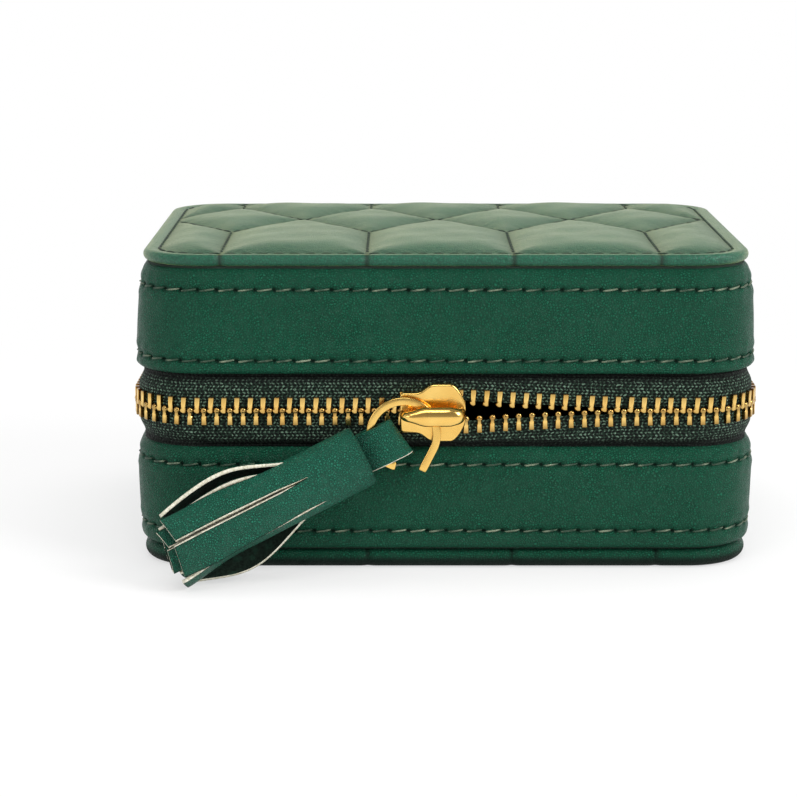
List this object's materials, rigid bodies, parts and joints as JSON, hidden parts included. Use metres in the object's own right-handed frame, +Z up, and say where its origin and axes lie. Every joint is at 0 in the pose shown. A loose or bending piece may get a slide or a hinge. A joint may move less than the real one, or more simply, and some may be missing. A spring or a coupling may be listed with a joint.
{
  "type": "jewellery case",
  "caption": "Small zip-round travel jewellery case in green leather with quilted lid, ring rolls, open trays, mirror in the lid and a tassel zip pull.",
  "frame": {"origin": "on the floor under the middle of the closed case", "axes": "+X along the front to the right, +Y towards the hinge at the back, +Z up"},
  "size_m": [0.1232, 0.1054, 0.063],
  "materials": {
    "emerald_leather": "satin grain",
    "zip_tape": "woven",
    "gold_metal": "polished",
    "velvet": "velvet",
    "fibreboard": "matte",
    "mirror_glass": "polished"
  },
  "bodies": {
    "base": {"base_foot_panel": "emerald_leather", "base_band": "emerald_leather", "base_frame": "fibreboard", "base_board": "fibreboard", "base_lining": "velvet", "ring_roll_1": "velvet", "ring_roll_2": "velvet", "ring_roll_3": "velvet", "ring_roll_4": "velvet", "ring_roll_5": "velvet", "ring_roll_6": "velvet", "bay_divider": "velvet", "cross_divider": "velvet", "lower_zip_tape": "zip_tape", "lower_zip_teeth": "gold_metal", "lower_zip_stops": "gold_metal", "hinge_leather": "emerald_leather", "hinge_lining": "velvet"},
    "lid": {"lid_quilted_panel": "emerald_leather", "lid_band": "emerald_leather", "lid_frame": "fibreboard", "lid_board": "fibreboard", "lid_lining": "velvet", "lid_mirror": "mirror_glass", "mirror_bezel": "velvet", "upper_zip_tape": "zip_tape", "upper_zip_teeth": "gold_metal", "upper_zip_stops": "gold_metal"},
    "slider": {"slider_body": "gold_metal", "slider_bridge": "gold_metal"},
    "ring": {"pull_ring": "gold_metal"},
    "tassel": {"tassel_strap": "emerald_leather", "tassel_head": "emerald_leather", "tassel_core": "emerald_leather", "tassel_strip_1": "emerald_leather", "tassel_strip_2": "emerald_leather", "tassel_strip_3": "emerald_leather", "tassel_strip_4": "emerald_leather", "tassel_strip_5": "emerald_leather", "tassel_strip_6": "emerald_leather", "tassel_strip_7": "emerald_leather", "tassel_strip_8": "emerald_leather", "tassel_strip_9": "emerald_leather"}
  },
  "joints": [
    {"name": "lid_hinge", "type": "hinge", "parent": "base", "child": "lid", "pos_m": [0, 0.0438, 0.0317], "axis": [-1, 0, 0], "range_deg": [0, 110], "deforming": ["hinge_leather", "hinge_lining"]},
    {"name": "slider_slide", "type": "slide", "parent": "base", "child": "slider", "axis": [1, 0, 0], "range_m": [-0.036, 0.042], "deforming": ["lower_zip_tape", "lower_zip_teeth", "upper_zip_tape", "upper_zip_teeth"]},
    {"name": "ring_swing", "type": "hinge", "parent": "slider", "child": "ring", "pos_m": [-0.0032, -0.04675, 0.0317], "axis": [-0.5987, 0.0665, 0.7982], "range_deg": [0, 60]},
    {"name": "tassel_swing", "type": "hinge", "parent": "ring", "child": "tassel", "pos_m": [-0.01407, -0.04682, 0.02504], "axis": [-0.4402, 0.0676, 0.8954], "range_deg": [0, 15]}
  ]
}
